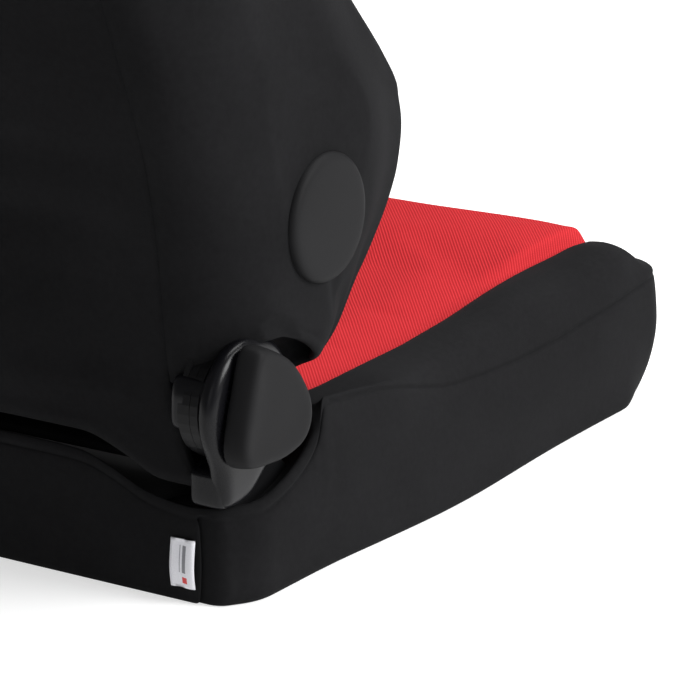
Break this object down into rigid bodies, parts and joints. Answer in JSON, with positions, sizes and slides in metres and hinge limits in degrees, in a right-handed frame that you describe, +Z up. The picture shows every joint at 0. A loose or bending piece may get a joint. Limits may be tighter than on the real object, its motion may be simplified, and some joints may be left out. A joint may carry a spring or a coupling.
{
  "type": "racing seat",
  "caption": "Reclining sports seat: bolstered cushion and backrest with red mesh centres, a hand knob that turns the geared recliners at each side, and a sliding headrest.",
  "frame": {"origin": "centre of the bounding box's underside: the plane of the rails' undersides, which the seat bolts down to", "axes": "+Z up; the occupant faces -Y; +X is the occupant's left"},
  "size_m": [0.528, 0.8249, 0.8784],
  "materials": {
    "black_steel": "satin black powder coat",
    "zinc_steel": "zinc plated",
    "chrome_tube": "polished",
    "spring_wire": "bright drawn wire",
    "grained_plastic": "fine moulded grain",
    "gloss_plastic": "smooth",
    "black_fabric": "fine knitted suede",
    "foam": "moulded foam in a thin lining",
    "red_mesh": "corded mesh, diagonal ribs",
    "label": "woven satin tape"
  },
  "bodies": {
    "seat_base": {"front_cross_member": "black_steel", "rear_cross_tube": "black_steel", "thigh_pan": "black_steel", "cushion_spring_middle": "spring_wire", "cushion_insert": "red_mesh", "cushion_foam": "foam", "cushion_front_roll": "black_fabric", "cushion_rear_panel": "black_fabric", "label_tab": "label", "side_rail_right": "black_steel", "side_rail_left": "black_steel", "weld_nut_rear_right": "zinc_steel", "weld_nut_rear_left": "zinc_steel", "weld_nut_front_right": "zinc_steel", "weld_nut_front_left": "zinc_steel", "cushion_spring_right": "spring_wire", "cushion_spring_left": "spring_wire", "lower_hinge_plate_right": "black_steel", "lower_hinge_plate_left": "black_steel", "recliner_gear_disc_right": "black_steel", "recliner_gear_disc_left": "black_steel", "hinge_screw_rear_right": "zinc_steel", "hinge_screw_rear_left": "zinc_steel", "hinge_screw_front_right": "zinc_steel", "hinge_screw_front_left": "zinc_steel", "hinge_cover_right": "gloss_plastic", "hinge_cover_left": "gloss_plastic", "cushion_bolster_right": "black_fabric", "cushion_bolster_left": "black_fabric"},
    "recliner_drive": {"recliner_shaft": "zinc_steel", "eccentric_cam_right": "zinc_steel", "eccentric_cam_left": "zinc_steel", "recline_knob_right": "grained_plastic", "recline_knob_left": "grained_plastic"},
    "backrest": {"back_top_beam": "black_steel", "back_lower_beam": "black_steel", "lumbar_spring_lower": "spring_wire", "lumbar_spring_upper": "spring_wire", "back_foam": "foam", "back_insert": "red_mesh", "back_rear_panel": "black_fabric", "headrest_carrier": "black_steel", "recliner_ring_disc_right": "black_steel", "recliner_ring_disc_left": "black_steel", "upper_hinge_plate_right": "black_steel", "upper_hinge_plate_left": "black_steel", "hinge_link_cover_right": "gloss_plastic", "hinge_link_cover_left": "gloss_plastic", "back_upright_right": "black_steel", "back_upright_left": "black_steel", "back_bolster_right": "black_fabric", "back_bolster_left": "black_fabric", "side_disc_right": "grained_plastic", "side_disc_left": "grained_plastic", "headrest_guide_right": "grained_plastic", "headrest_guide_left": "grained_plastic"},
    "headrest": {"headrest_pad": "black_fabric", "headrest_post_right": "chrome_tube", "headrest_post_left": "chrome_tube"},
    "lock_button": {"headrest_lock_button": "gloss_plastic"}
  },
  "joints": [
    {"name": "recline", "type": "hinge", "parent": "seat_base", "child": "backrest", "pos_m": [0, 0.1595, 0.135], "axis": [-1, 0, 0], "range_deg": [-10, 55]},
    {"name": "knob_turn", "type": "hinge", "parent": "seat_base", "child": "recliner_drive", "pos_m": [0, 0.1595, 0.135], "axis": [-1, 0, 0], "range_deg": [-340, 1830]},
    {"name": "headrest_height", "type": "slide", "parent": "backrest", "child": "headrest", "axis": [0, 0.342, 0.9397], "range_m": [0, 0.06]},
    {"name": "lock_button_press", "type": "slide", "parent": "backrest", "child": "lock_button", "axis": [-1, 0, 0], "range_m": [0, 0.003], "stiffness_N_per_m": 1500}
  ],
  "couplings": [
    {"joint": "knob_turn", "follows": "recline", "ratio": 33}
  ]
}
